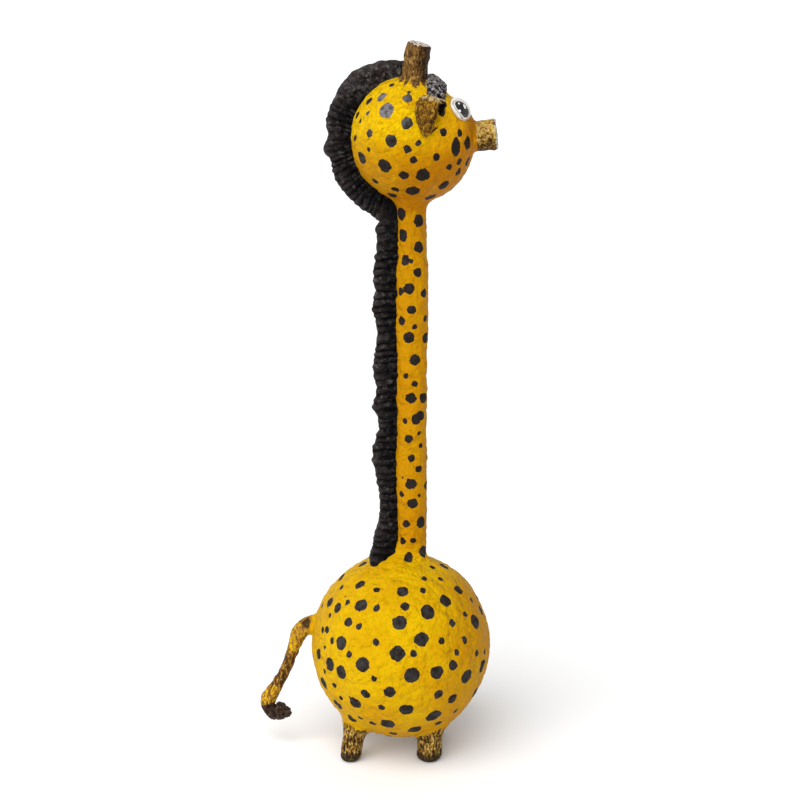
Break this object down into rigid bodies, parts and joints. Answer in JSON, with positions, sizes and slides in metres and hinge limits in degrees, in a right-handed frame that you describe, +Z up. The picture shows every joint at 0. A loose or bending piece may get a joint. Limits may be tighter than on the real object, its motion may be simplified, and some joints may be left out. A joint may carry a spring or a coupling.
{
  "type": "giraffe statue",
  "caption": "Standing giraffe statue in painted papier-mache, with a ball body on stub legs, a long tube neck, a ball head with horns and a crimped mane.",
  "frame": {"origin": "on the ground, under the middle of the statue's length and width", "axes": "+X the way the giraffe faces, +Y to its left, +Z up"},
  "size_m": [0.3424, 0.262, 1.0262],
  "materials": {
    "skin": "satin yellow paint with charcoal spots over papier-mache; horns, snout, legs and tail brushed brown",
    "mane": "black paint over crimped paper",
    "ear": "brown dry-brushed paint over wrinkled paper",
    "eye": "gloss varnished white and black paint",
    "tuft": "black-brown paint over crumpled paper"
  },
  "bodies": {
    "root": {"giraffe_body": "skin", "mane": "mane", "fringe": "mane", "right_ear": "ear", "left_ear": "ear", "right_eye": "eye", "left_eye": "eye", "tail_tuft": "tuft"}
  },
  "joints": []
}
